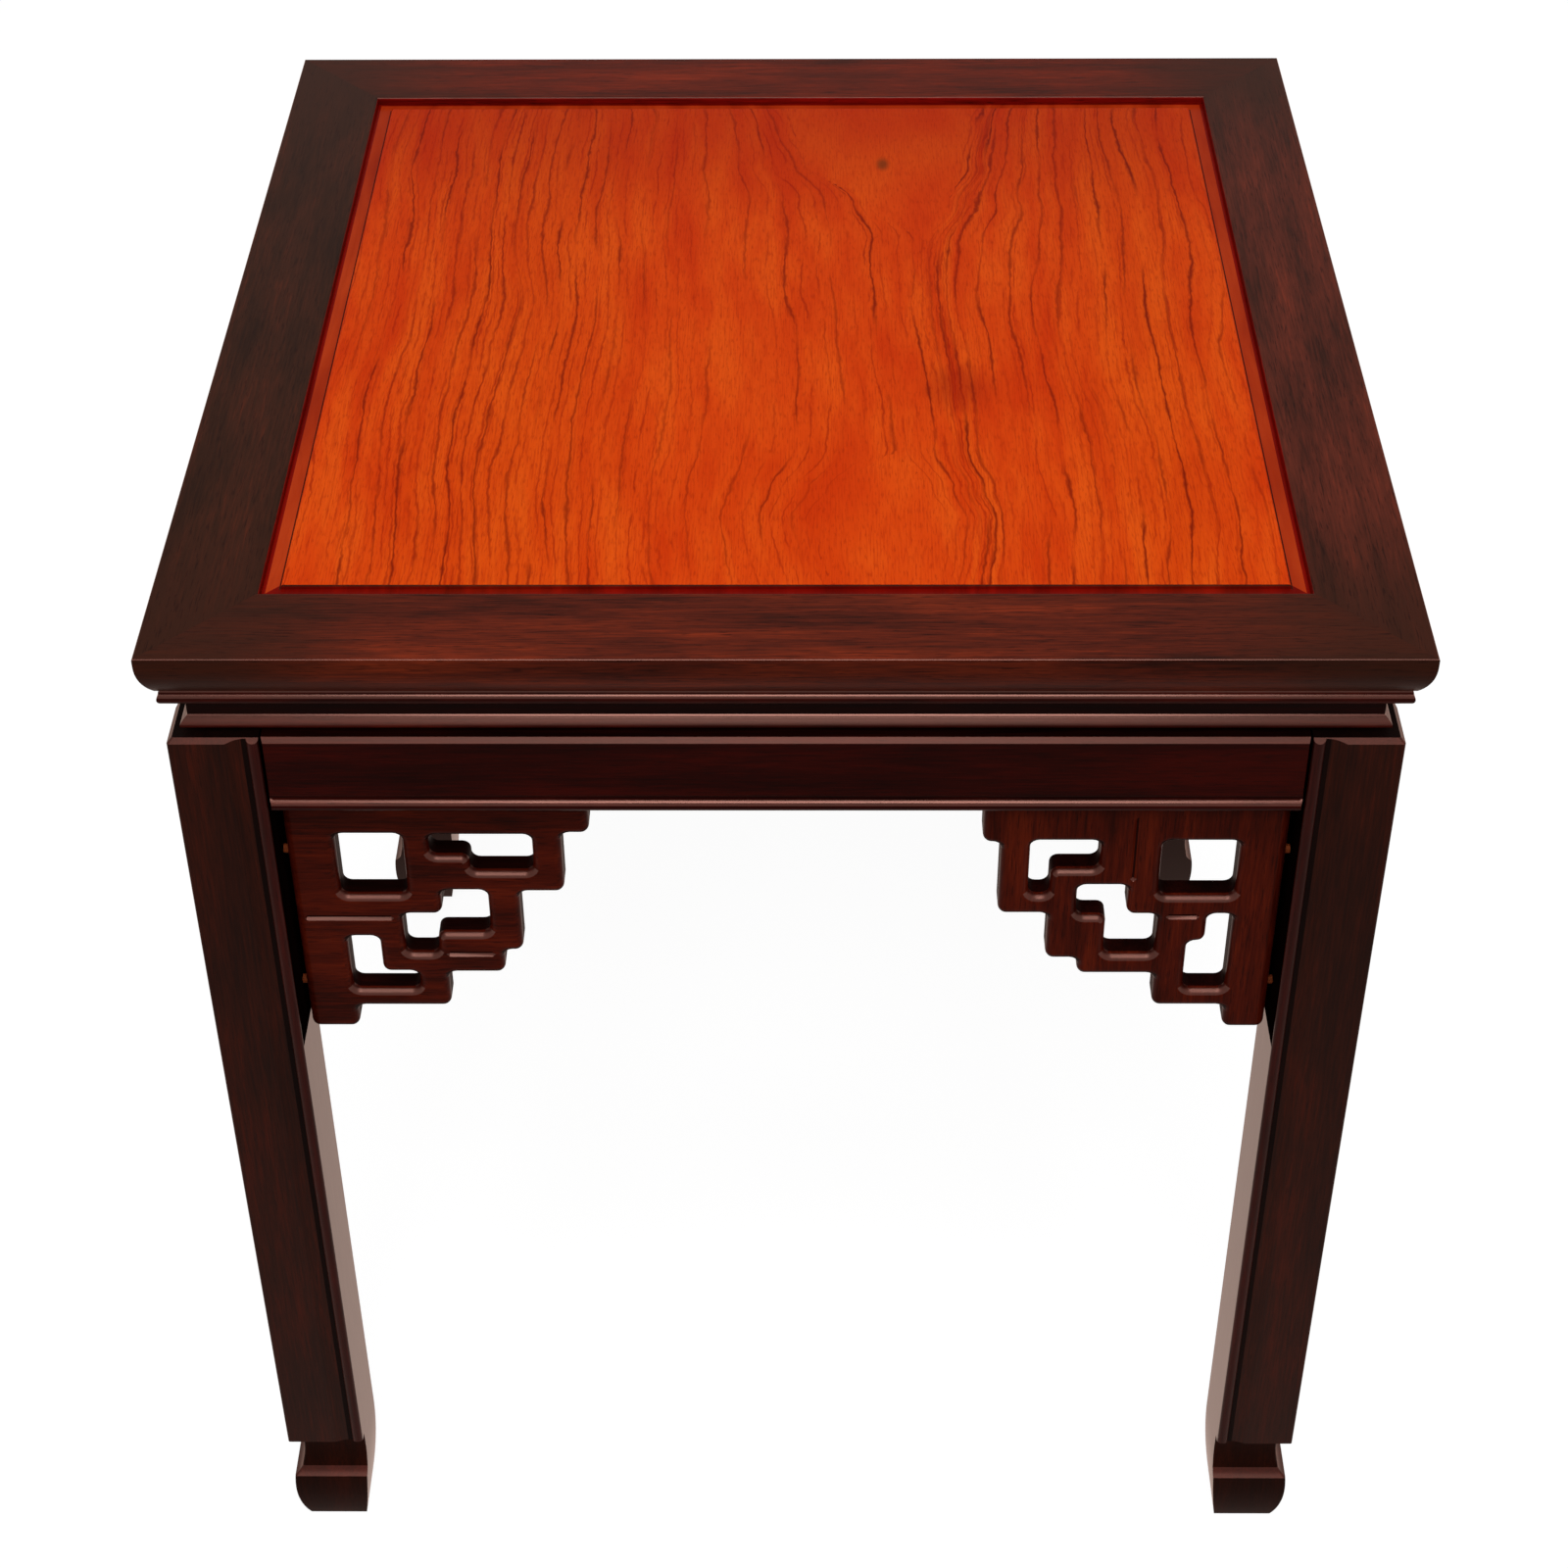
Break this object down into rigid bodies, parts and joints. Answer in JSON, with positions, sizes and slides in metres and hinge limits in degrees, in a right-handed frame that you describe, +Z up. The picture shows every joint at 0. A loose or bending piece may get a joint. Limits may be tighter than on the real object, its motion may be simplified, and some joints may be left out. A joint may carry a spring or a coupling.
{
  "type": "square waisted side table",
  "caption": "Square waisted side table in dark lacquered rosewood: mitred frame round a red panel, moulded waist, aprons, pierced fretwork brackets and hoof feet.",
  "frame": {"origin": "on the floor, under the centre of the top", "axes": "+Z up, +X to the right seen from the front, the front faces -Y"},
  "size_m": [0.508, 0.508, 0.559],
  "materials": {
    "lacquered_rosewood": "dark red-brown stained rosewood under satin-gloss lacquer",
    "panel_rosewood": "orange-red figured rosewood under gloss lacquer",
    "peg_hardwood": "plain hardwood, oiled by the finish around it"
  },
  "bodies": {
    "root": {"top_rail_front": "lacquered_rosewood", "top_rail_back": "lacquered_rosewood", "top_rail_left": "lacquered_rosewood", "top_rail_right": "lacquered_rosewood", "centre_panel": "panel_rosewood", "panel_batten_front": "lacquered_rosewood", "panel_batten_back": "lacquered_rosewood", "bead_strip_front": "lacquered_rosewood", "bead_strip_back": "lacquered_rosewood", "bead_strip_left": "lacquered_rosewood", "bead_strip_right": "lacquered_rosewood", "waist_board_front": "lacquered_rosewood", "waist_board_back": "lacquered_rosewood", "waist_board_left": "lacquered_rosewood", "waist_board_right": "lacquered_rosewood", "waist_moulding_front": "lacquered_rosewood", "waist_moulding_back": "lacquered_rosewood", "waist_moulding_left": "lacquered_rosewood", "waist_moulding_right": "lacquered_rosewood", "apron_front": "lacquered_rosewood", "apron_back": "lacquered_rosewood", "apron_left": "lacquered_rosewood", "apron_right": "lacquered_rosewood", "leg_front_left": "lacquered_rosewood", "leg_front_right": "lacquered_rosewood", "leg_back_left": "lacquered_rosewood", "leg_back_right": "lacquered_rosewood", "bracket_front_left": "lacquered_rosewood", "bracket_front_right": "lacquered_rosewood", "bracket_back_left": "lacquered_rosewood", "bracket_back_right": "lacquered_rosewood", "bracket_left_left": "lacquered_rosewood", "bracket_left_right": "lacquered_rosewood", "bracket_right_left": "lacquered_rosewood", "bracket_right_right": "lacquered_rosewood", "bracket_leg_pegs": "peg_hardwood", "bracket_apron_pegs": "peg_hardwood"}
  },
  "joints": []
}
